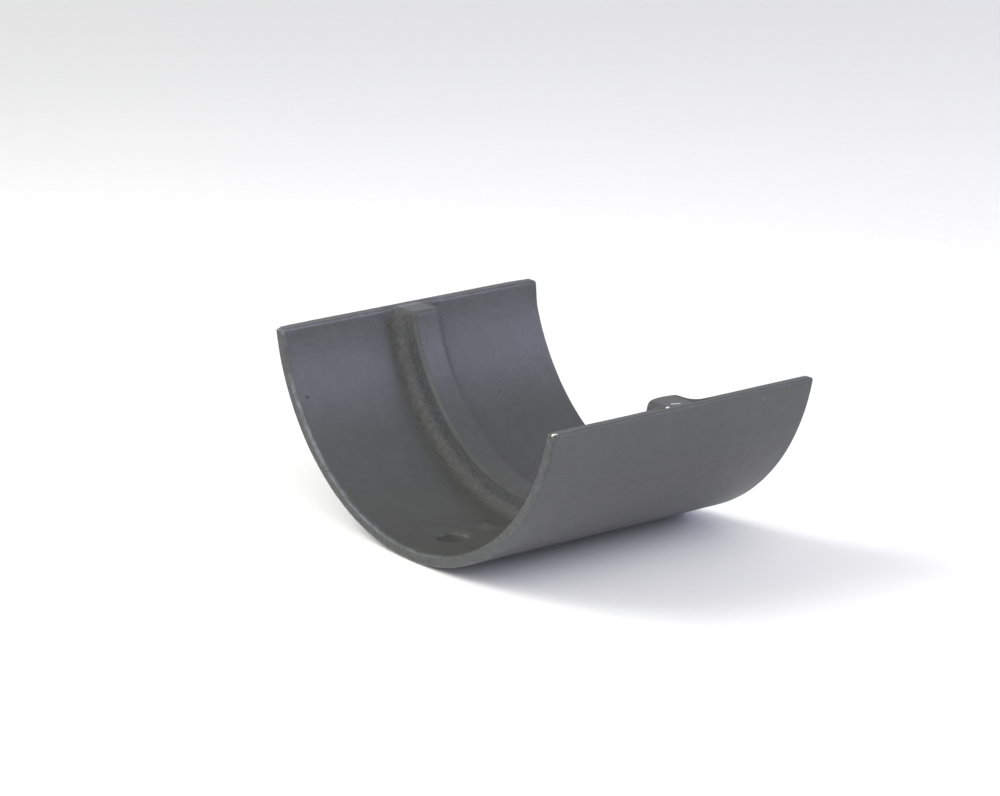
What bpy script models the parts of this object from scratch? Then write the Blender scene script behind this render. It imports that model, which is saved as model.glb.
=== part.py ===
"""Half-round gutter union: one iron casting that joins two lengths of gutter end to end.

Metres, +Z up. The gutter runs along Y, and the origin is the lowest point at the middle of the length.
A shallow round trough carries a central stop, a low broad rib, with an open socket on each side of it.
Each gutter end lies in a socket against the stop, and one bolt through the floor holds it down.
"""
from math import acos, atan2, cos, floor, radians, sin, tan

import bmesh
import bpy
from mathutils import Matrix, Vector

# Driving dimensions
GUTTER_WIDTH = 0.115
JOINT_CLEARANCE = 0.0025
WALL = 0.0036
RIM_HEIGHT = 0.052
SOCKET_DEPTH = 0.0409
STOP_WIDTH = 0.0102
STOP_HEIGHT = 0.0072
STOP_ROOT_RADIUS = 0.0032
STOP_EDGE_RADIUS = 0.0013
END_EDGE_RADIUS = 0.0009
RIM_EDGE_RADIUS = 0.0008
BOLT_HOLE_DIAMETER = 0.0090
BOLT_MOUTH_DIAMETER = 0.0132
BOLT_MOUTH_RADIUS = 0.0026
BOLT_TO_END = 0.0165

# Fineness of the curves
MOST_FACETS = 39
CORNER_STEPS = 4
RIM_EDGE_STEPS = 3
BOLT_HOLE_STEPS = 32
BOLT_MOUTH_STEPS = 4
SMOOTH_BELOW = radians(35)

# The sweep ends this far above the rims, and its last facet has room for this many rim roundings
SWEEP_PAST_RIM = radians(0.3)
FACET_ROOM = 1.5

# Sizes that follow
INNER_RADIUS = GUTTER_WIDTH / 2 + JOINT_CLEARANCE
OUTER_RADIUS = INNER_RADIUS + WALL
STOP_RADIUS = INNER_RADIUS - STOP_HEIGHT
HALF_STOP = STOP_WIDTH / 2
HALF_LENGTH = HALF_STOP + SOCKET_DEPTH

# A rounding takes less than half of the face it stands on
MOST_OF_A_FACE = 0.45
END_EDGE = min(END_EDGE_RADIUS, MOST_OF_A_FACE * WALL)
RIM_EDGE = min(RIM_EDGE_RADIUS, MOST_OF_A_FACE * WALL)
STOP_EDGE = min(STOP_EDGE_RADIUS, MOST_OF_A_FACE * STOP_WIDTH, MOST_OF_A_FACE * STOP_HEIGHT)
STOP_ROOT = min(STOP_ROOT_RADIUS, MOST_OF_A_FACE * STOP_HEIGHT)

# The curve of a bolt hole's mouth turns this far from the bore, and then runs straight
BOLT_MOUTH_TURN = radians(60)

# How far a cutter stands clear of what it cuts
CUTTER_REACH = 0.01

IRON_COLOUR = (0.092, 0.093, 0.097, 1.0)
IRON_ROUGHNESS = 0.42


def clear_scene():
    """Start from an empty scene."""
    for thing in list(bpy.data.objects):
        bpy.data.objects.remove(thing, do_unlink=True)


def new_collection(name):
    """Add a collection to the scene."""
    collection = bpy.data.collections.new(name)
    bpy.context.scene.collection.children.link(collection)
    return collection


def painted_iron():
    """Satin dark grey paint over cast iron."""
    material = bpy.data.materials.new("painted_cast_iron")
    material.use_nodes = True
    shader = material.node_tree.nodes["Principled BSDF"]
    shader.inputs["Base Color"].default_value = IRON_COLOUR
    shader.inputs["Roughness"].default_value = IRON_ROUGHNESS
    shader.inputs["Metallic"].default_value = 0.0
    return material


def rounded_outline(corners):
    """Round the corners (u, v, radius) of a closed outline and return its points in order."""
    points = []
    for index, (u, v, radius) in enumerate(corners):
        here = Vector((u, v))
        before = (Vector(corners[index - 1][:2]) - here).normalized()
        after = (Vector(corners[(index + 1) % len(corners)][:2]) - here).normalized()
        half_angle = before.angle(after) / 2
        centre = here + (before + after).normalized() * radius / sin(half_angle)
        start = here + before * radius / tan(half_angle) - centre
        end = here + after * radius / tan(half_angle) - centre
        turn = atan2(start.x * end.y - start.y * end.x, start.dot(end))
        for step in range(CORNER_STEPS + 1):
            points.append(centre + Matrix.Rotation(turn * step / CORNER_STEPS, 2) @ start)
    return points


def wall_section():
    """Section cut along the gutter, as (distance from the axis, y): the wall with its stop."""
    return rounded_outline([
        (OUTER_RADIUS, -HALF_LENGTH, END_EDGE),
        (OUTER_RADIUS, HALF_LENGTH, END_EDGE),
        (INNER_RADIUS, HALF_LENGTH, END_EDGE),
        (INNER_RADIUS, HALF_STOP, STOP_ROOT),
        (STOP_RADIUS, HALF_STOP, STOP_EDGE),
        (STOP_RADIUS, -HALF_STOP, STOP_EDGE),
        (INNER_RADIUS, -HALF_STOP, STOP_ROOT),
        (INNER_RADIUS, -HALF_LENGTH, END_EDGE),
    ])


def rim_angle(radius):
    """Angle from straight down at which a circle about the gutter's axis meets the rim plane."""
    return acos((OUTER_RADIUS - RIM_HEIGHT) / radius)


def facets():
    """How many flat facets make the sweep, and the angle of each.

    The count is odd, so that one facet lies flat on the ground. The rim plane crosses the last facet
    on each side at every radius, and leaves room below it for the rounding of the rim.
    """
    reach = rim_angle(OUTER_RADIUS) + SWEEP_PAST_RIM
    room = reach - rim_angle(STOP_RADIUS) + FACET_ROOM * RIM_EDGE / STOP_RADIUS
    count = min(MOST_FACETS, floor(2 * reach / room))
    count -= 1 - count % 2
    return count, 2 * reach / count


def add_object(name, mesh, collection):
    """Put a mesh into the scene as a named object."""
    thing = bpy.data.objects.new(name, mesh)
    collection.objects.link(thing)
    return thing


def line_mesh(name, points, closed):
    """A mesh of edges only, through the points in order."""
    mesh = bpy.data.meshes.new(name)
    edges = [(index, index + 1) for index in range(len(points) - 1)]
    if closed:
        edges.append((len(points) - 1, 0))
    mesh.from_pydata(points, edges, [])
    return mesh


def evaluated_mesh(thing):
    """The mesh of an object with its modifiers applied."""
    depsgraph = bpy.context.evaluated_depsgraph_get()
    return bpy.data.meshes.new_from_object(thing.evaluated_get(depsgraph))


def sweep_wall(collection, axis_height, count, step):
    """Turn the wall section about the gutter's axis, a little past both rims, and cap its two ends."""
    start = Matrix.Rotation(-count * step / 2, 3, "Y")
    points = [start @ Vector((0, y, -radius)) for radius, y in wall_section()]
    outline = add_object("wall_section", line_mesh("wall_section", points, closed=True), collection)
    turn = outline.modifiers.new("turn", "SCREW")
    turn.axis = "Y"
    turn.angle = count * step
    turn.steps = count
    turn.render_steps = count
    turn.use_merge_vertices = False
    wall = evaluated_mesh(outline)
    bpy.data.objects.remove(outline, do_unlink=True)

    mesh = bmesh.new()
    mesh.from_mesh(wall)
    bmesh.ops.holes_fill(mesh, edges=[edge for edge in mesh.edges if edge.is_boundary])
    bmesh.ops.recalc_face_normals(mesh, faces=mesh.faces)
    bmesh.ops.translate(mesh, verts=mesh.verts, vec=(0, 0, axis_height))
    mesh.to_mesh(wall)
    mesh.free()
    return wall


def mouth_cutter(collection):
    """Everything above the rims."""
    mesh = bmesh.new()
    bmesh.ops.create_cube(mesh, size=1)
    height = 2 * OUTER_RADIUS
    size = (height + 2 * CUTTER_REACH, 2 * (HALF_LENGTH + CUTTER_REACH), height)
    bmesh.ops.scale(mesh, verts=mesh.verts, vec=size)
    bmesh.ops.translate(mesh, verts=mesh.verts, vec=(0, 0, RIM_HEIGHT + height / 2))
    box = bpy.data.meshes.new("mouth_cutter")
    mesh.to_mesh(box)
    mesh.free()
    return add_object("mouth_cutter", box, collection)


def bolt_hole_cutter(name, y, collection):
    """A round hole whose mouth opens out in a soft curve at the floor of the socket."""
    hole_radius = BOLT_HOLE_DIAMETER / 2
    arc = BOLT_MOUTH_RADIUS
    arc_width = arc * (1 - cos(BOLT_MOUTH_TURN))
    straight = BOLT_MOUTH_DIAMETER / 2 - hole_radius - arc_width
    arc_level = WALL - straight / tan(BOLT_MOUTH_TURN) - arc * sin(BOLT_MOUTH_TURN)
    arc_points = []
    for step in range(BOLT_MOUTH_STEPS + 1):
        turn = BOLT_MOUTH_TURN * step / BOLT_MOUTH_STEPS
        arc_points.append((hole_radius + arc * (1 - cos(turn)), 0, arc_level + arc * sin(turn)))
    top = WALL + CUTTER_REACH
    flare = (top - arc_points[-1][2]) * tan(BOLT_MOUTH_TURN)
    points = [(0, 0, top), (hole_radius + arc_width + flare, 0, top)]
    points += reversed(arc_points)
    points += [(hole_radius, 0, -CUTTER_REACH), (0, 0, -CUTTER_REACH)]
    cutter = add_object(name, line_mesh(name, points, closed=False), collection)
    cutter.location.y = y
    turn = cutter.modifiers.new("turn", "SCREW")
    turn.steps = BOLT_HOLE_STEPS
    turn.render_steps = BOLT_HOLE_STEPS
    turn.use_merge_vertices = True
    turn.merge_threshold = 0.00001
    return cutter


def subtract(thing, cutter):
    """Cut one object out of another, and leave the cutter as a wire guide."""
    cut = thing.modifiers.new(cutter.name, "BOOLEAN")
    cut.operation = "DIFFERENCE"
    cut.solver = "EXACT"
    cut.object = cutter
    cutter.display_type = "WIRE"
    cutter.hide_render = True


def build_union():
    """Make the casting: the swept wall, cut level at the rims, rounded there, and drilled."""
    parts = new_collection("gutter_union")
    cutters = new_collection("gutter_union_cutters")
    count, step = facets()
    axis_height = OUTER_RADIUS * cos(step / 2)
    casting = add_object("union_casting", sweep_wall(cutters, axis_height, count, step), parts)
    casting.data.name = "union_casting"
    casting.data.materials.append(painted_iron())

    subtract(casting, mouth_cutter(cutters))
    rounding = casting.modifiers.new("rim_rounding", "BEVEL")
    rounding.limit_method = "ANGLE"
    rounding.angle_limit = SMOOTH_BELOW
    rounding.width = RIM_EDGE
    rounding.segments = RIM_EDGE_STEPS
    rounding.use_clamp_overlap = False
    for name, side in (("front_bolt_hole", -1), ("back_bolt_hole", 1)):
        subtract(casting, bolt_hole_cutter(name, side * (HALF_LENGTH - BOLT_TO_END), cutters))

    casting.data.shade_smooth()
    casting.data.set_sharp_from_angle(angle=SMOOTH_BELOW)


clear_scene()
build_union()
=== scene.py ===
from math import atan2, ceil, cos, pi, radians, sin, tan

import bpy
from mathutils import Matrix, Vector


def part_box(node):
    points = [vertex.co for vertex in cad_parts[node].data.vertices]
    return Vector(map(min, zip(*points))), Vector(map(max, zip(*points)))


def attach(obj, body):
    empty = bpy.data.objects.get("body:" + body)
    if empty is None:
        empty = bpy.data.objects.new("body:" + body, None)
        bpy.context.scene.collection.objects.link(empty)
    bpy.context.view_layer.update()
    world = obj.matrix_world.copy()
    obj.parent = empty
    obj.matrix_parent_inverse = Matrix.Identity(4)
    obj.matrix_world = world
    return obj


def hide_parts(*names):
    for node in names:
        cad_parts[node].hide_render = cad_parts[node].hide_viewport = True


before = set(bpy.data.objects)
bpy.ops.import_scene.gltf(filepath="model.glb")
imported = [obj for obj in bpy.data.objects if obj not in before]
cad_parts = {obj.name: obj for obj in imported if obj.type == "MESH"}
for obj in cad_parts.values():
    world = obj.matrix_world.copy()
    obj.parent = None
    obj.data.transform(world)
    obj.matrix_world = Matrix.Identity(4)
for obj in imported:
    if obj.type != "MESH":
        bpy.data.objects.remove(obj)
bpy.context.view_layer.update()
print("frame loaded:", ", ".join(sorted(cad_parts)))

castingNode = "union_casting"
castingLow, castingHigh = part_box(castingNode)
millimetre = 0.001


# Helpers for node trees

def feed(tree, socket, value):
    if isinstance(value, bpy.types.NodeSocket):
        tree.links.new(value, socket)
    else:
        socket.default_value = value


# Each input is set to a value or joined to a socket
def addNode(tree, kind, inputs=None, **settings):
    node = tree.nodes.new(kind)
    for name, value in settings.items():
        setattr(node, name, value)
    for name, value in (inputs or {}).items():
        feed(tree, node.inputs[name], value)
    return node


def calc(tree, operation, *terms):
    node = addNode(tree, "ShaderNodeMath", operation=operation)
    for socket, term in zip(node.inputs, terms):
        feed(tree, socket, term)
    return node.outputs[0]


def add(tree, first, second):
    return calc(tree, "ADD", first, second)


def subtract(tree, first, second):
    return calc(tree, "SUBTRACT", first, second)


def multiply(tree, first, *others):
    for other in others:
        first = calc(tree, "MULTIPLY", first, other)
    return first


def divide(tree, first, second):
    return calc(tree, "DIVIDE", first, second)


def calcVector(tree, operation, first, second):
    node = addNode(tree, "ShaderNodeVectorMath", {0: first, 1: second}, operation=operation)
    return node.outputs[0]


def scaleVector(tree, vector, scale):
    node = addNode(tree, "ShaderNodeVectorMath", {0: vector, "Scale": scale}, operation="SCALE")
    return node.outputs[0]


def distance(tree, first, second):
    node = addNode(tree, "ShaderNodeVectorMath", {0: first, 1: second}, operation="DISTANCE")
    return node.outputs["Value"]


def joinVector(tree, x, y, z):
    return addNode(tree, "ShaderNodeCombineXYZ", {"X": x, "Y": y, "Z": z}).outputs[0]


def splitVector(tree, vector):
    return addNode(tree, "ShaderNodeSeparateXYZ", {"Vector": vector}).outputs


def clamped(tree, value):
    return addNode(tree, "ShaderNodeClamp", {"Value": value}).outputs[0]


# A straight change from one range to another, clamped at its ends
def lerp(tree, value, fromLow, fromHigh, toLow, toHigh):
    return addNode(tree, "ShaderNodeMapRange", {
        "Value": value, "From Min": fromLow, "From Max": fromHigh,
        "To Min": toLow, "To Max": toHigh}).outputs["Result"]


# A soft step from zero to one
def smooth(tree, value, zeroAt, oneAt):
    return addNode(tree, "ShaderNodeMapRange", {
        "Value": value, "From Min": zeroAt, "From Max": oneAt, "To Min": 0.0, "To Max": 1.0},
        interpolation_type="SMOOTHSTEP").outputs["Result"]


def mixColour(tree, factor, first, second):
    node = addNode(tree, "ShaderNodeMix", {"Factor": factor}, data_type="RGBA")
    feed(tree, node.inputs[6], first)
    feed(tree, node.inputs[7], second)
    return node.outputs[2]


def mixVector(tree, factor, first, second):
    node = addNode(tree, "ShaderNodeMix", {"Factor": factor}, data_type="VECTOR")
    feed(tree, node.inputs[4], first)
    feed(tree, node.inputs[5], second)
    return node.outputs[1]


# With a seed the noise has a fourth dimension
def noise(tree, where, scale, detail, seed=None):
    node = addNode(tree, "ShaderNodeTexNoise", {"Vector": where, "Scale": scale, "Detail": detail})
    if seed is not None:
        node.noise_dimensions = "4D"
        feed(tree, node.inputs["W"], seed)
    return node.outputs[0]


def storeValue(tree, geometry, name, value, kind):
    return addNode(tree, "GeometryNodeStoreNamedAttribute", {
        "Geometry": geometry, "Name": name, "Value": value}, data_type=kind, domain="POINT").outputs[0]


def storedValue(tree, name, kind):
    return addNode(tree, "GeometryNodeInputNamedAttribute", {"Name": name}, data_type=kind).outputs[0]


# The casting

casting = {
    "wall": 3.6 * millimetre,
    "stopWidth": 10.2 * millimetre,
    "stopHeight": 7.2 * millimetre,
    "innerEndRadius": 1.0 * millimetre,
    "outerEndRadius": 0.9 * millimetre,
    "rimEdgeRadius": 0.8 * millimetre,
    "rimFlatStrip": 0.05 * millimetre,
    "rimSteps": 5,
    "arcSteps": 6,
    "pointEvery": 0.8 * millimetre,
    "ringEvery": 0.8 * millimetre,
    # The stop's section in millimetres, most of the way and at each rim, where hand finishing changed it
    "stopShapes": {
        "along": {"frontReach": 5.1, "frontRadius": 1.3, "frontRoot": 3.2,
                  "backRadius": 1.8, "rimRadius": 0.8},
        "leftRim": {"frontReach": 5.1, "frontRadius": 1.4, "frontRoot": 3.2,
                    "backRadius": 1.6, "rimRadius": 0.9},
        "rightRim": {"frontReach": 7.3, "frontRadius": 5.0, "frontRoot": 2.1,
                     "backRadius": 2.1, "rimRadius": 1.0},
    },
    # The stop begins to take on a rim's shape this far from the rim
    "rimShapeFrom": 9.0 * millimetre,
    "holeAcross": 8.6 * millimetre,
    "mouthAcross": 11.4 * millimetre,
    "mouthRadius": 1.6 * millimetre,
    "mouthTurn": radians(60),
    "holeToEnd": 16.5 * millimetre,
    "holeSides": 72,
    "holeLevels": 48,
    "drillBelow": 3.0 * millimetre,
    "drillAbove": 2.0 * millimetre,
    "swell": 0.12 * millimetre,
    "swellScale": 60.0,
    "ripple": 0.04 * millimetre,
    "rippleScale": 260.0,
    "skinDetail": 2.0,
    "seed": 4.0,
    # Low lumps left on the skin by the mould: place, reach and height in millimetres
    "lumps": [
        ((-1.9, -16.6, 3.6), 4.2, 0.8),
        ((56.5, -0.6, 52.0), 6.5, 0.5),
    ],
    # Where the left wall's back end stands a little proud: place, reach and shift in millimetres
    "leans": [((-59.0, 46.0, 52.0), 9.0, (0.3, 0.5, -0.2))],
}


# The wall's outside is an arc that touches the ground and meets the rims where their rounding begins
def outerRadius():
    halfWidth = (castingHigh.x - castingLow.x) / 2
    level = castingHigh.z - castingLow.z - casting["rimEdgeRadius"]
    return (halfWidth ** 2 + level ** 2) / (2 * level)


# Points of a closed outline, from its corners (x, y, radius). The straight runs after them are cut into
# the given counts of pieces.
def roundedOutline(corners, arcSteps, pieceCounts):
    arcs = []
    for index, (x, y, radius) in enumerate(corners):
        here = Vector((x, y))
        before = (Vector(corners[index - 1][:2]) - here).normalized()
        after = (Vector(corners[(index + 1) % len(corners)][:2]) - here).normalized()
        half = before.angle(after) / 2
        centre = here + (before + after).normalized() * radius / sin(half)
        start = here + before * radius / tan(half) - centre
        end = here + after * radius / tan(half) - centre
        turn = atan2(start.x * end.y - start.y * end.x, start.dot(end))
        arcs.append([centre + Matrix.Rotation(turn * step / arcSteps, 2) @ start
                     for step in range(arcSteps + 1)])
    points = []
    for arc, following, pieces in zip(arcs, arcs[1:] + arcs[:1], pieceCounts):
        points += arc
        run = following[0] - arc[-1]
        points += [arc[-1] + run * step / pieces for step in range(1, pieces)]
    return points


# The section along the gutter, as (distance from the axis, y). All stop shapes give equally many points.
def sectionPoints(radius, shape):
    inner = radius - casting["wall"]
    stopFace = inner - casting["stopHeight"]
    halfStop = casting["stopWidth"] / 2
    halfLength = castingHigh.y
    outerEnd, innerEnd = casting["outerEndRadius"], casting["innerEndRadius"]
    reach, front, root, back = (
        shape[name] * millimetre for name in ("frontReach", "frontRadius", "frontRoot", "backRadius"))
    backRoot = casting["stopShapes"]["along"]["frontRoot"] * millimetre
    spans = [2 * halfLength, casting["wall"], halfLength - halfStop, casting["stopHeight"], 2 * halfStop]
    long, short, socket, riser, stop = (ceil(span / casting["pointEvery"]) for span in spans)
    corners = [
        (radius, -halfLength, outerEnd),
        (radius, halfLength, outerEnd),
        (inner, halfLength, innerEnd),
        (inner, halfStop, backRoot),
        (stopFace, halfStop, back),
        (stopFace, -reach, front),
        (inner, -reach, root),
        (inner, -halfLength, innerEnd),
    ]
    pieceCounts = [long, short, socket, riser, stop, riser, socket, short]
    return roundedOutline(corners, casting["arcSteps"], pieceCounts)


def softStep(value):
    value = min(max(value, 0), 1)
    return value * value * (3 - 2 * value)


# The section as a loop of edges. Each point also holds its place and its rounding at both rims.
def sectionObject(radius):
    shapes = casting["stopShapes"]
    points = sectionPoints(radius, shapes["along"])
    count = len(points)
    mesh = bpy.data.meshes.new("castUnion")
    edges = [(index, (index + 1) % count) for index in range(count)]
    mesh.from_pydata([(x, y, 0) for x, y in points], edges, [])
    stopBase = radius - casting["wall"]
    rise = shapes["along"]["frontRoot"] * millimetre
    for name in ("leftRim", "rightRim"):
        mesh.attributes.new(name + "Place", "FLOAT_VECTOR", "POINT")
        mesh.attributes.new(name + "Radius", "FLOAT", "POINT")
        shape = shapes[name]
        onStop = (shape["frontReach"] + shape["frontRoot"]) * millimetre
        for index, (x, y) in enumerate(sectionPoints(radius, shape)):
            mesh.attributes[name + "Place"].data[index].vector = (x, y, 0)
            share = softStep((stopBase - x) / rise) if abs(y) < onStop else 0
            mesh.attributes[name + "Radius"].data[index].value = (
                casting["rimEdgeRadius"] * (1 - share) + shape["rimRadius"] * millimetre * share)
    thing = bpy.data.objects.new("castUnion", mesh)
    bpy.context.scene.collection.objects.link(thing)
    return thing


# The section is swept along a straight path, to be bent later. Each point keeps its place in the
# section, the direction inwards from the skin there, and the number of its ring.
def sweepSection(tree, given, spareRings):
    section = addNode(tree, "GeometryNodeMeshToCurve", {"Mesh": given["Section"]}).outputs["Curve"]
    place = addNode(tree, "GeometryNodeInputPosition").outputs[0]
    tangent = addNode(tree, "GeometryNodeInputTangent").outputs[0]
    inward = calcVector(tree, "CROSS_PRODUCT", tangent, (0, 0, -1))
    section = storeValue(tree, section, "sectionPlace", place, "FLOAT_VECTOR")
    section = storeValue(tree, section, "sectionInward", inward, "FLOAT_VECTOR")
    count = add(tree, add(tree, given["Rings"], 1.0), multiply(tree, spareRings, 2.0))
    path = addNode(tree, "GeometryNodeCurvePrimitiveLine").outputs["Curve"]
    path = addNode(tree, "GeometryNodeResampleCurve", {"Curve": path, "Count": count}).outputs["Curve"]
    number = addNode(tree, "GeometryNodeInputIndex").outputs[0]
    path = storeValue(tree, path, "ring", number, "FLOAT")
    return addNode(tree, "GeometryNodeCurveToMesh", {
        "Curve": path, "Profile Curve": section, "Fill Caps": True}).outputs["Mesh"]


# Turns the rings about the gutter's axis and ends them level at the rims
def bendWall(tree, swept, given, spareRings):
    # The ring's number gives its side: -1 at the left rim, 1 at the right
    ring = subtract(tree, storedValue(tree, "ring", "FLOAT"), spareRings)
    along = clamped(tree, divide(tree, ring, given["Rings"]))
    side = calc(tree, "MULTIPLY_ADD", along, 2.0, -1.0)
    onRight = calc(tree, "GREATER_THAN", side, 0.0)

    # The spare rings round the rim over, and the very last leaves a narrow flat strip
    past = calc(tree, "MAXIMUM", multiply(tree, ring, -1.0), subtract(tree, ring, given["Rings"]))
    past = calc(tree, "MAXIMUM", past, 0.0)
    turned = divide(tree, calc(tree, "MINIMUM", past, given["Rim Rings"]), given["Rim Rings"])
    turned = multiply(tree, turned, pi / 2)
    flat = multiply(tree, calc(tree, "GREATER_THAN", past, given["Rim Rings"]), given["Flat Strip"])
    rimRadius = addNode(tree, "ShaderNodeMix", {
        "Factor": onRight, "A": storedValue(tree, "leftRimRadius", "FLOAT"),
        "B": storedValue(tree, "rightRimRadius", "FLOAT")}).outputs[0]
    inset = multiply(tree, rimRadius, subtract(tree, 1.0, calc(tree, "COSINE", turned)))
    inset = add(tree, inset, flat)
    drop = multiply(tree, rimRadius, subtract(tree, 1.0, calc(tree, "SINE", turned)))
    level = subtract(tree, given["Rim Height"], drop)

    # The section takes on the rim's shape near the rim
    quarterArc = multiply(tree, given["Outer Radius"], pi / 2)
    toRim = multiply(tree, subtract(tree, 1.0, calc(tree, "ABSOLUTE", side)), quarterArc)
    nearRim = subtract(tree, 1.0, smooth(tree, toRim, 0.0, given["Rim Shape From"]))
    atRim = mixVector(tree, onRight, storedValue(tree, "leftRimPlace", "FLOAT_VECTOR"),
                      storedValue(tree, "rightRimPlace", "FLOAT_VECTOR"))
    place = mixVector(tree, nearRim, storedValue(tree, "sectionPlace", "FLOAT_VECTOR"), atRim)

    # The point is moved in by the inset and turned to its angle about the axis
    moved = scaleVector(tree, storedValue(tree, "sectionInward", "FLOAT_VECTOR"), inset)
    fromAxis, y, _ = splitVector(tree, calcVector(tree, "ADD", place, moved))
    upTo = divide(tree, subtract(tree, given["Outer Radius"], level), fromAxis)
    angle = multiply(tree, side, calc(tree, "ARCCOSINE", upTo))
    across = multiply(tree, fromAxis, calc(tree, "SINE", angle))
    down = multiply(tree, fromAxis, calc(tree, "COSINE", angle))
    height = subtract(tree, given["Outer Radius"], down)
    return addNode(tree, "GeometryNodeSetPosition", {
        "Geometry": swept, "Position": joinVector(tree, across, y, height)}).outputs[0]


# Two bolt holes on the middle line, whose mouths open out in a soft curve at the socket floor
def drillHoles(tree, wall, given):
    below, above = casting["drillBelow"], casting["drillAbove"]
    height = add(tree, given["Wall"], below + above)
    rod = addNode(tree, "GeometryNodeMeshCylinder", {
        "Vertices": casting["holeSides"], "Side Segments": casting["holeLevels"],
        "Radius": 1.0, "Depth": height}).outputs["Mesh"]
    x, y, z = splitVector(tree, addNode(tree, "GeometryNodeInputPosition").outputs[0])
    level = add(tree, z, calc(tree, "MULTIPLY_ADD", height, 0.5, -below))

    # The radius at each level: the bore, then an arc, then a straight flare
    arc = given["Mouth Arc"]
    arcRise = sin(casting["mouthTurn"])
    slope = tan(casting["mouthTurn"])
    widening = subtract(tree, given["Mouth Radius"], given["Hole Radius"])
    straight = subtract(tree, widening, multiply(tree, arc, 1 - cos(casting["mouthTurn"])))
    arcTop = subtract(tree, given["Wall"], divide(tree, straight, slope))
    arcStart = subtract(tree, arcTop, multiply(tree, arc, arcRise))
    share = divide(tree, subtract(tree, level, arcStart), arc)
    share = lerp(tree, share, 0.0, arcRise, 0.0, arcRise)
    bend = calc(tree, "SQRT", subtract(tree, 1.0, multiply(tree, share, share)))
    bend = subtract(tree, 1.0, bend)
    flare = multiply(tree, calc(tree, "MAXIMUM", subtract(tree, level, arcTop), 0.0), slope)
    radius = add(tree, calc(tree, "MULTIPLY_ADD", arc, bend, given["Hole Radius"]), flare)
    place = joinVector(tree, multiply(tree, x, radius), multiply(tree, y, radius), level)
    drill = addNode(tree, "GeometryNodeSetPosition", {"Geometry": rod, "Position": place}).outputs[0]

    cut = addNode(tree, "GeometryNodeMeshBoolean", {"Mesh 1": wall},
                  operation="DIFFERENCE", solver="MANIFOLD")
    for sign in (-1.0, 1.0):
        middle = multiply(tree, given["Hole To Middle"], sign)
        placed = addNode(tree, "GeometryNodeTransform", {
            "Geometry": drill, "Translation": joinVector(tree, 0.0, middle, 0.0)}).outputs[0]
        tree.links.new(placed, cut.inputs["Mesh 2"])
    return cut.outputs["Mesh"]


# One at a place given in millimetres, and zero from the reach on
def nearPlace(tree, where, middle, reach):
    away = distance(tree, where, tuple(value * millimetre for value in middle))
    return smooth(tree, away, reach * millimetre, 0.0)


# Sand-cast unevenness cut into the skin: a slow swell, a finer ripple, low lumps and a lean
def roughenSkin(tree, geometry, given):
    place = addNode(tree, "GeometryNodeInputPosition").outputs[0]
    swell = noise(tree, place, casting["swellScale"], casting["skinDetail"], given["Seed"])
    ripple = noise(tree, place, casting["rippleScale"], casting["skinDetail"], given["Seed"])
    depth = add(tree, multiply(tree, subtract(tree, swell, 0.5), given["Swell"]),
                multiply(tree, subtract(tree, ripple, 0.5), given["Ripple"]))
    for middle, reach, rise in casting["lumps"]:
        lump = nearPlace(tree, place, middle, reach)
        depth = add(tree, depth, multiply(tree, lump, rise * millimetre))
    normal = addNode(tree, "GeometryNodeInputNormal").outputs[0]
    offset = scaleVector(tree, normal, depth)
    for middle, reach, shift in casting["leans"]:
        full = tuple(value * millimetre for value in shift)
        leaning = scaleVector(tree, full, nearPlace(tree, place, middle, reach))
        offset = calcVector(tree, "ADD", offset, leaning)
    return addNode(tree, "GeometryNodeSetPosition", {"Geometry": geometry, "Offset": offset}).outputs[0]


def castingTree():
    tree = bpy.data.node_groups.new("castGutterUnion", "GeometryNodeTree")
    face = tree.interface
    face.new_socket("Section", in_out="INPUT", socket_type="NodeSocketGeometry")
    for name in ("Outer Radius", "Rim Height", "Rim Shape From", "Flat Strip", "Wall", "Hole Radius",
                 "Mouth Radius", "Mouth Arc", "Hole To Middle", "Swell", "Ripple", "Seed"):
        face.new_socket(name, in_out="INPUT", socket_type="NodeSocketFloat")
    for name in ("Rings", "Rim Rings"):
        face.new_socket(name, in_out="INPUT", socket_type="NodeSocketInt")
    face.new_socket("Paint", in_out="INPUT", socket_type="NodeSocketMaterial")
    face.new_socket("Casting", in_out="OUTPUT", socket_type="NodeSocketGeometry")
    given = tree.nodes.new("NodeGroupInput").outputs

    spareRings = add(tree, given["Rim Rings"], 1.0)
    swept = sweepSection(tree, given, spareRings)
    wall = bendWall(tree, swept, given, spareRings)
    drilled = drillHoles(tree, wall, given)
    rough = roughenSkin(tree, drilled, given)
    shaded = addNode(tree, "GeometryNodeSetShadeSmooth", {"Geometry": rough}).outputs[0]
    whole = addNode(tree, "GeometryNodeRealizeInstances", {"Geometry": shaded}).outputs[0]
    painted = addNode(tree, "GeometryNodeSetMaterial", {
        "Geometry": whole, "Material": given["Paint"]}).outputs[0]
    out = tree.nodes.new("NodeGroupOutput")
    tree.links.new(painted, out.inputs["Casting"])
    return tree


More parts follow.
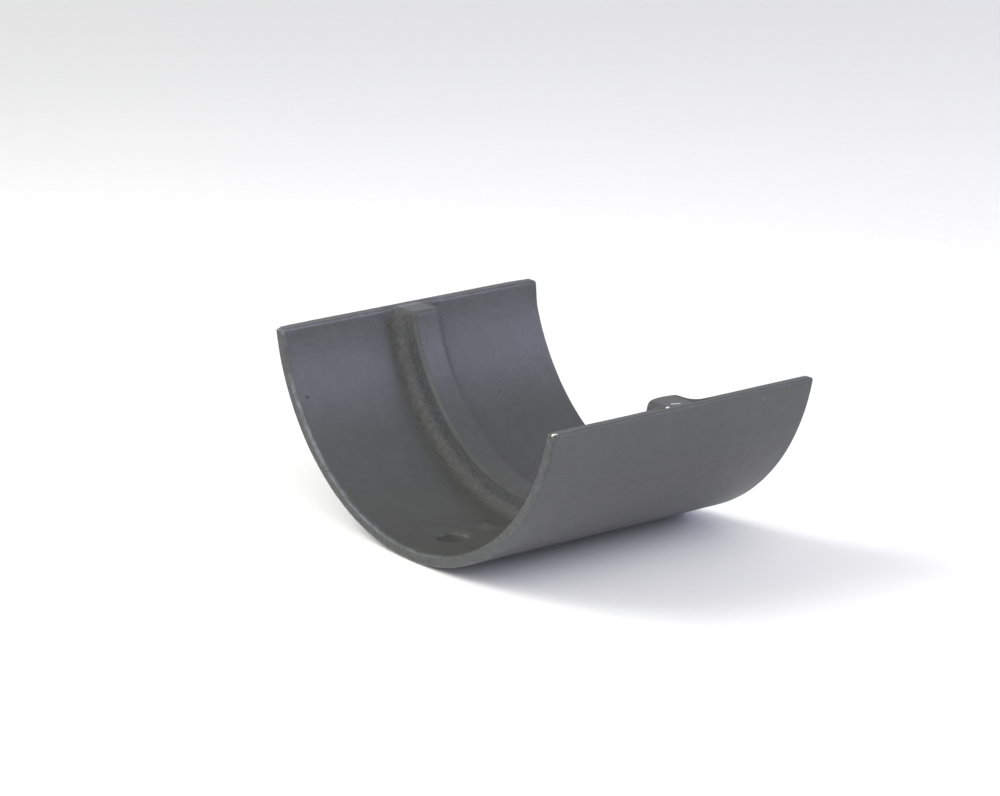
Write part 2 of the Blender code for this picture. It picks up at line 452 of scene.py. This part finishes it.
def makeCasting(paint):
    radius = outerRadius()
    thing = sectionObject(radius)
    tree = castingTree()
    values = {
        "Outer Radius": radius,
        "Rim Height": castingHigh.z,
        "Rim Shape From": casting["rimShapeFrom"],
        "Flat Strip": casting["rimFlatStrip"],
        "Wall": casting["wall"],
        "Hole Radius": casting["holeAcross"] / 2,
        "Mouth Radius": casting["mouthAcross"] / 2,
        "Mouth Arc": casting["mouthRadius"],
        "Hole To Middle": castingHigh.y - casting["holeToEnd"],
        "Swell": casting["swell"],
        "Ripple": casting["ripple"],
        "Seed": casting["seed"],
        "Rings": ceil(radius * pi / casting["ringEvery"]),
        "Rim Rings": casting["rimSteps"],
        "Paint": paint,
    }
    modifier = thing.modifiers.new("castGutterUnion", "NODES")
    modifier.node_group = tree
    for item in tree.interface.items_tree:
        if item.in_out == "INPUT" and item.name in values:
            modifier[item.identifier] = values[item.name]
    evaluated = thing.evaluated_get(bpy.context.evaluated_depsgraph_get())
    mesh = bpy.data.meshes.new_from_object(evaluated)
    thing.modifiers.remove(modifier)
    thing.data = mesh
    triangles = sum(len(polygon.vertices) - 2 for polygon in mesh.polygons)
    print("casting made:", len(mesh.vertices), "points,", triangles, "triangles")
    return thing


# The paint

paintLook = {
    "darkTone": (0.0705, 0.0715, 0.0720, 1),
    "lightTone": (0.0815, 0.0825, 0.0830, 1),
    # Paler blue tone on the rounded edges: partly worn paint, partly a painted highlight
    "rubbedSheenTone": (0.125, 0.13, 0.15, 1),
    "speckTone": (0.135, 0.135, 0.135, 1),
    "pitTone": (0.03, 0.03, 0.03, 1),
    # Darker speckled tones: painted shade on the cut ends and behind the stop
    "endShadeDarkTone": (0.046, 0.047, 0.049, 1),
    "endShadeLightTone": (0.066, 0.067, 0.068, 1),
    # Lighter speckled tones in the stop's corners: sand grain, lightened as painted light on the risers
    "cornerDarkTone": (0.075, 0.076, 0.078, 1),
    "cornerLightTone": (0.101, 0.101, 0.101, 1),
    # Lighter tone on the rims' flat tops: a painted sheen
    "rimSheenTone": (0.088, 0.089, 0.091, 1),
    # Near-white tone for the painted glints
    "glintTone": (0.9, 0.9, 0.92, 1),
    "roughness": (0.37, 0.43),
    "edgeRoughness": 0.30,
    "addedSideRoughness": 0.2,
    "specular": 0.375,
    "sideSpecular": 0.27,
    "edgeSpecular": 0.5,
    "bump": 0.40,
    "coarseBump": 0.95,
    "bumpDepth": 0.2 * millimetre,
    # Noises from broad to fine, what they add to each other, and the part of their range that shows
    "broadScale": 45.0,
    "patchScale": 260.0,
    "grainScale": 900.0,
    "fineScale": 2200.0,
    "noiseDetail": 3.0,
    "fineDetail": 2.0,
    "broadShare": 0.4,
    "fineInBump": 0.4,
    "grainInRubbedSheen": 0.5,
    "toneRange": (0.35, 0.65),
    "speckleRange": (0.36, 0.64),
    "roughnessRange": (0.3, 0.7),
    "rubbedSheenRange": (0.62, 0.86),
    "leastRubbedSheen": 0.15,
    # Where the edge wear and its painted highlight begin and are full: the distances to an edge's two
    # faces, added up, in rounding radii
    "wearAndSheenRange": (1.0, 0.72),
    # Changes over the casting: from and to in millimetres, then the strength at each
    "wearAndSheenAcross": (-30.0, 20.0, 1.0, 0.1),
    "wearAndSheenAlong": (5.0, 40.0, 1.0, 0.35),
    "lowRight": (-25.0, -5.0, 0.0, 1.0),
    # Where each finish, painted shade or painted highlight begins and where it is full, in millimetres
    # from its base in finishCover
    "fades": {
        "besideStop": (6.0, 3.0),
        "stopCorner": (-0.8, -0.4),
        "belowStopFace": (1.2, 2.2),
        "cutEnd": (-0.9, -0.2),
        "behindStop": (12.0, 3.0),
        "stopBackEdge": (-3.0, -1.0),
        "sideFront": (0.6, 0.1),
        "sideBack": (-2.5, -1.0),
        "rimTopSheen": (0.8, 0.2),
        "endTop": (15.0, 10.0),
        "endCorner": (1.0, 2.0),
    },
    # Spots: cells to the metre, size, and the share of the cells that holds one
    "lightSpecks": (130.0, 0.4 * millimetre, 0.3),
    "darkSpecks": (150.0, 0.4 * millimetre, 0.35),
    "darkSpeckShift": (0.013, 0.017, 0.011),  # moves the dark spots off the light ones
    # Painted glints on the corners and on the stop's right end, and one pit in the left wall: both ends
    # and the width in millimetres
    "glints": [
        ((61.1, -45.5, 51.8), (61.4, -44.8, 51.8), 0.6),
        ((-62.1, -45.7, 51.8), (-61.6, -45.3, 51.8), 0.8),
        ((-61.9, -44.4, 51.8), (-61.8, -42.6, 51.8), 0.45),
        ((60.4, -5.7, 52.0), (60.2, -5.0, 52.0), 0.5),
        ((58.6, -2.4, 52.3), (59.5, -0.3, 52.3), 0.45),
    ],
    "pits": [((-51.6, -42.3, 33.2), (-51.6, -42.1, 33.2), 0.65)],
}


# One on each short mark, softening to zero at its width
def nearMarks(tree, where, marks):
    near = 0.0
    for first, last, width in marks:
        begin = Vector(first) * millimetre
        run = Vector(last) * millimetre - begin
        away = calcVector(tree, "SUBTRACT", where, tuple(begin))
        share = addNode(tree, "ShaderNodeVectorMath", {
            0: away, 1: tuple(run / run.length_squared)}, operation="DOT_PRODUCT").outputs["Value"]
        nearest = scaleVector(tree, tuple(run), clamped(tree, share))
        gap = distance(tree, away, nearest)
        mark = smooth(tree, gap, width * millimetre, 0.5 * width * millimetre)
        near = calc(tree, "MAXIMUM", near, mark)
    return near


def specks(tree, where, scale, size, share):
    cells = addNode(tree, "ShaderNodeTexVoronoi", {"Vector": where, "Scale": scale})
    chosen = addNode(tree, "ShaderNodeSeparateColor", {"Color": cells.outputs["Color"]}).outputs[0]
    spot = smooth(tree, cells.outputs["Distance"], size * scale, 0.5 * size * scale)
    return multiply(tree, spot, calc(tree, "LESS_THAN", chosen, share))


# One along the rounded edges of the rims and the ends, where edge wear and its painted highlight lie
def edgeWearAndSheen(tree, toRim, toEnd, fromAxis, radius):
    toOuter = calc(tree, "ABSOLUTE", subtract(tree, fromAxis, radius))
    toInner = calc(tree, "ABSOLUTE", subtract(tree, fromAxis, radius - casting["wall"]))
    edges = [
        (toRim, toInner, casting["rimEdgeRadius"]),
        (toRim, toOuter, casting["rimEdgeRadius"]),
        (toRim, toEnd, casting["outerEndRadius"]),
        (toEnd, toInner, casting["innerEndRadius"]),
        (toEnd, toOuter, casting["outerEndRadius"]),
    ]
    closeness = [divide(tree, add(tree, first, second), rounding) for first, second, rounding in edges]
    nearest = closeness[0]
    for other in closeness[1:]:
        nearest = calc(tree, "MINIMUM", nearest, other)
    return smooth(tree, nearest, *paintLook["wearAndSheenRange"])


# A soft step between the two places of a named fade, counted from its base
def fade(tree, name, value, base):
    zeroAt, oneAt = (place * millimetre for place in paintLook["fades"][name])
    return smooth(tree, value, base + zeroAt, base + oneAt)


# A straight change of strength, as named in paintLook
def change(tree, name, value):
    start, end, startStrength, endStrength = paintLook[name]
    return lerp(tree, value, start * millimetre, end * millimetre, startStrength, endStrength)


# How much of each finish, painted shade and painted highlight lies on a point, from zero to one
def finishCover(tree, where):
    radius = outerRadius()
    halfStop = casting["stopWidth"] / 2
    stopFace = radius - casting["wall"] - casting["stopHeight"]
    x, y, z = splitVector(tree, where)
    level = subtract(tree, z, radius)
    fromAxis = addNode(tree, "ShaderNodeVectorMath", {
        0: joinVector(tree, x, 0.0, level)}, operation="LENGTH").outputs["Value"]
    fromMiddle = calc(tree, "ABSOLUTE", y)
    toRim = subtract(tree, castingHigh.z, z)
    toEnd = subtract(tree, castingHigh.y, fromMiddle)
    inside = calc(tree, "LESS_THAN", fromAxis, radius - casting["wall"] / 2)
    onEnd = fade(tree, "cutEnd", fromMiddle, castingHigh.y)

    # The corners on both sides of the stop, below its face, which take sand grain and painted light that
    # lifts the risers' shade
    nearStop = fade(tree, "besideStop", fromMiddle, halfStop)
    corner = multiply(tree, nearStop, fade(tree, "stopCorner", fromMiddle, halfStop),
                      fade(tree, "belowStopFace", fromAxis, stopFace), inside)

    # Painted shade behind the stop, on the floor and the right wall
    behind = multiply(tree, fade(tree, "behindStop", y, halfStop),
                      fade(tree, "stopBackEdge", y, halfStop), inside, change(tree, "lowRight", x))

    # The duller paint from the stop's two edges out
    edges = calc(tree, "MAXIMUM", fade(tree, "sideFront", y, -halfStop),
                 fade(tree, "sideBack", y, halfStop))
    stopSide = multiply(tree, edges, inside, nearStop)

    # Edge wear with its painted highlight, and the painted sheen on the rim tops, are strongest at the
    # left and in front. The ends are spared just below the rims.
    strength = multiply(tree, change(tree, "wearAndSheenAcross", x), change(tree, "wearAndSheenAlong", y))
    # The rim tops' painted sheen
    rimTopSheen = multiply(tree, strength, fade(tree, "rimTopSheen", toRim, 0.0))
    endTop = multiply(tree, onEnd, multiply(
        tree, fade(tree, "endTop", toRim, 0.0), fade(tree, "endCorner", toRim, 0.0)))
    wornAndSheen = multiply(tree, edgeWearAndSheen(tree, toRim, toEnd, fromAxis, radius), strength,
                    subtract(tree, 1.0, endTop))
    return {"end": onEnd, "corner": corner, "behind": behind, "stopSide": stopSide,
            "rimTopSheen": rimTopSheen, "wornAndSheen": wornAndSheen}


# Satin dark grey paint over the casting's skin
def makePaint():
    look = paintLook
    paint = bpy.data.materials.new("greyCastingPaint")
    paint.use_nodes = True
    tree = paint.node_tree
    shader = tree.nodes["Principled BSDF"]
    where = addNode(tree, "ShaderNodeTexCoord").outputs["Object"]
    cover = finishCover(tree, where)
    broad = noise(tree, where, look["broadScale"], look["noiseDetail"])
    patch = noise(tree, where, look["patchScale"], look["noiseDetail"])
    grain = noise(tree, where, look["grainScale"], look["noiseDetail"])
    fine = noise(tree, where, look["fineScale"], look["fineDetail"])

    tone = add(tree, multiply(tree, broad, look["broadShare"]),
               multiply(tree, patch, 1 - look["broadShare"]))
    tone = lerp(tree, tone, *look["toneRange"], 0.0, 1.0)
    speckled = lerp(tree, grain, *look["speckleRange"], 0.0, 1.0)
    paintedShadeTone = mixColour(tree, speckled, look["endShadeDarkTone"], look["endShadeLightTone"])
    cornerTone = mixColour(tree, speckled, look["cornerDarkTone"], look["cornerLightTone"])
    shifted = calcVector(tree, "ADD", where, look["darkSpeckShift"])
    pitted = calc(tree, "MAXIMUM", specks(tree, shifted, *look["darkSpecks"]),
                  nearMarks(tree, where, look["pits"]))
    # Edge wear with a painted highlight on the rounded edges
    rubbedSheen = add(tree, patch, multiply(tree, grain, look["grainInRubbedSheen"]))
    rubbedSheen = lerp(tree, rubbedSheen, *look["rubbedSheenRange"], look["leastRubbedSheen"], 1.0)
    rubbedSheen = multiply(tree, cover["wornAndSheen"], rubbedSheen)

    # Each layer lies over the ones before it
    colour = mixColour(tree, tone, look["darkTone"], look["lightTone"])
    for share, layer in (
            # painted shade on the cut ends
            (cover["end"], paintedShadeTone),
            # sand grain with painted light on the risers
            (cover["corner"], cornerTone),
            # painted shade behind the stop
            (cover["behind"], paintedShadeTone),
            (specks(tree, where, *look["lightSpecks"]), look["speckTone"]),
            (pitted, look["pitTone"]),
            # painted sheen on the rim tops
            (cover["rimTopSheen"], look["rimSheenTone"]),
            # edge wear with a painted highlight
            (rubbedSheen, look["rubbedSheenTone"]),
            # painted glints
            (nearMarks(tree, where, look["glints"]), look["glintTone"])):
        colour = mixColour(tree, share, colour, layer)
    feed(tree, shader.inputs["Base Color"], colour)

    roughness = lerp(tree, broad, *look["roughnessRange"], *look["roughness"])
    polished = multiply(tree, cover["wornAndSheen"], subtract(tree, roughness, look["edgeRoughness"]))
    roughness = subtract(tree, roughness, polished)
    roughness = calc(tree, "MULTIPLY_ADD", cover["stopSide"], look["addedSideRoughness"], roughness)
    feed(tree, shader.inputs["Roughness"], roughness)
    gloss = lerp(tree, cover["wornAndSheen"], 0.0, 1.0, look["specular"], look["edgeSpecular"])
    duller = multiply(tree, cover["stopSide"], look["specular"] - look["sideSpecular"])
    feed(tree, shader.inputs["Specular IOR Level"], subtract(tree, gloss, duller))

    # Coarse sand grain stays in the stop's corners and on the cut ends
    coarse = calc(tree, "MAXIMUM", cover["corner"], cover["end"])
    bump = addNode(tree, "ShaderNodeBump", {
        "Height": add(tree, grain, multiply(tree, fine, look["fineInBump"])),
        "Strength": lerp(tree, coarse, 0.0, 1.0, look["bump"], look["coarseBump"]),
        "Distance": look["bumpDepth"]})
    feed(tree, shader.inputs["Normal"], bump.outputs[0])
    print("paint made")
    return paint


# The studio

# Lengths in metres and angles in degrees. A panel's turn is counted from the camera's side, to the right.
# The paper panel lights the floor alone, as white paper lit from below would look.
studio = {
    "floorHalfWidth": 6.0,
    "paperDarkTone": (0.84, 0.84, 0.85, 1),
    "paperLightTone": (0.88, 0.88, 0.88, 1),
    "paperRoughness": 0.8,
    "fibreScale": 300.0,
    "fibreDetail": 3.0,
    "skyColour": (1.0, 1.0, 0.94, 1),
    "skyStrength": 0.52,
    "panels": {
        "leftPanel": {"turn": -90, "height": 25, "distance": 1.6, "width": 1.2, "tall": 0.6,
                      "brightness": 3.74, "colour": (1.0, 1.0, 0.87)},
        "lowLeftPanel": {"turn": -45, "height": 8, "distance": 1.6, "width": 1.2, "tall": 0.45,
                         "brightness": 4.15, "colour": (1.0, 1.0, 1.20)},
        "frontPanel": {"turn": 0, "height": 45, "distance": 1.6, "width": 1.6, "tall": 0.9,
                       "brightness": 2.80, "colour": (1.0, 1.0, 0.92)},
        "rightPanel": {"turn": 90, "height": 25, "distance": 1.6, "width": 1.3, "tall": 0.6,
                       "brightness": 3.28, "colour": (1.0, 1.0, 1.55)},
        "backPanel": {"turn": 180, "height": 17, "distance": 1.9, "width": 2.6, "tall": 0.9,
                      "brightness": 0.29, "colour": (1.0, 1.0, 1.50)},
        "paperPanel": {"turn": -90, "height": 48, "distance": 0.9, "width": 0.6, "tall": 0.4,
                       "brightness": 0.9, "colour": (1.0, 1.0, 1.0), "spread": 60, "floorOnly": True},
    },
}

# The camera, fitted to the photo, in degrees and metres. The picture's width and the focal length are
# in pixels, and the sensor is in millimetres.
view = {
    "azimuth": 50.991,
    "elevation": 17.072,
    "roll": 1.185,
    "distance": 1.188616,
    "pictureWidth": 1000,
    "focalLength": 4243.166,
    "sensorWidth": 36,
    "aim": (0, 0, 0.025),
    "shiftRight": 0.010705,
    "shiftUp": -0.012922,
}


def makeFloor():
    half = studio["floorHalfWidth"]
    corners = [(-half, -half, 0), (half, -half, 0), (half, half, 0), (-half, half, 0)]
    mesh = bpy.data.meshes.new("floor")
    mesh.from_pydata(corners, [], [(0, 1, 2, 3)])
    floor = bpy.data.objects.new("floor", mesh)
    bpy.context.scene.collection.objects.link(floor)
    paper = bpy.data.materials.new("whitePaper")
    paper.use_nodes = True
    tree = paper.node_tree
    shader = tree.nodes["Principled BSDF"]
    where = addNode(tree, "ShaderNodeTexCoord").outputs["Object"]
    fibre = noise(tree, where, studio["fibreScale"], studio["fibreDetail"])
    colour = mixColour(tree, fibre, studio["paperDarkTone"], studio["paperLightTone"])
    feed(tree, shader.inputs["Base Color"], colour)
    shader.inputs["Roughness"].default_value = studio["paperRoughness"]
    mesh.materials.append(paper)
    return floor


def makeLights(floor):
    floorAlone = bpy.data.collections.new("floorAlone")
    floorAlone.objects.link(floor)
    world = bpy.data.worlds.new("studio")
    bpy.context.scene.world = world
    world.use_nodes = True
    background = world.node_tree.nodes["Background"]
    background.inputs["Color"].default_value = studio["skyColour"]
    background.inputs["Strength"].default_value = studio["skyStrength"]
    for name, given in studio["panels"].items():
        panel = bpy.data.lights.new(name, "AREA")
        panel.shape = "RECTANGLE"
        panel.size = given["width"]
        panel.size_y = given["tall"]
        panel.color = given["colour"]
        panel.energy = given["brightness"] * pi * given["width"] * given["tall"]
        panel.spread = radians(given.get("spread", 180))
        lamp = bpy.data.objects.new(name, panel)
        bpy.context.scene.collection.objects.link(lamp)
        around = radians(view["azimuth"] + given["turn"]) - pi / 2
        up = radians(given["height"])
        place = given["distance"] * Vector((cos(around) * cos(up), sin(around) * cos(up), sin(up)))
        lamp.location = place
        lamp.rotation_euler = (-place).to_track_quat("-Z", "Y").to_euler()
        if given.get("floorOnly"):
            lamp.light_linking.receiver_collection = floorAlone
    print("floor and lights made:", len(studio["panels"]), "panels")


def makeCamera():
    azimuth, elevation, roll = (radians(view[name]) for name in ("azimuth", "elevation", "roll"))
    right = Vector((cos(azimuth), sin(azimuth), 0))
    forward = Vector((-sin(azimuth) * cos(elevation), cos(azimuth) * cos(elevation), -sin(elevation)))
    up = right.cross(forward)
    rolledRight = right * cos(roll) + up * sin(roll)
    rolledUp = up * cos(roll) - right * sin(roll)
    data = bpy.data.cameras.new("camera")
    data.sensor_width = view["sensorWidth"]
    data.lens = data.sensor_width / (view["pictureWidth"] / view["focalLength"])
    camera = bpy.data.objects.new("camera", data)
    bpy.context.scene.collection.objects.link(camera)
    place = Vector(view["aim"]) - forward * view["distance"]
    place -= rolledRight * view["shiftRight"] + rolledUp * view["shiftUp"]
    axes = Matrix((rolledRight, rolledUp, -forward)).transposed().to_4x4()
    camera.matrix_world = Matrix.Translation(place) @ axes
    bpy.context.scene.camera = camera
    print("camera placed")


paint = makePaint()
union = makeCasting(paint)
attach(union, "root")
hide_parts(castingNode)
floor = makeFloor()
makeLights(floor)
makeCamera()
bpy.context.scene.view_settings.view_transform = "Standard"
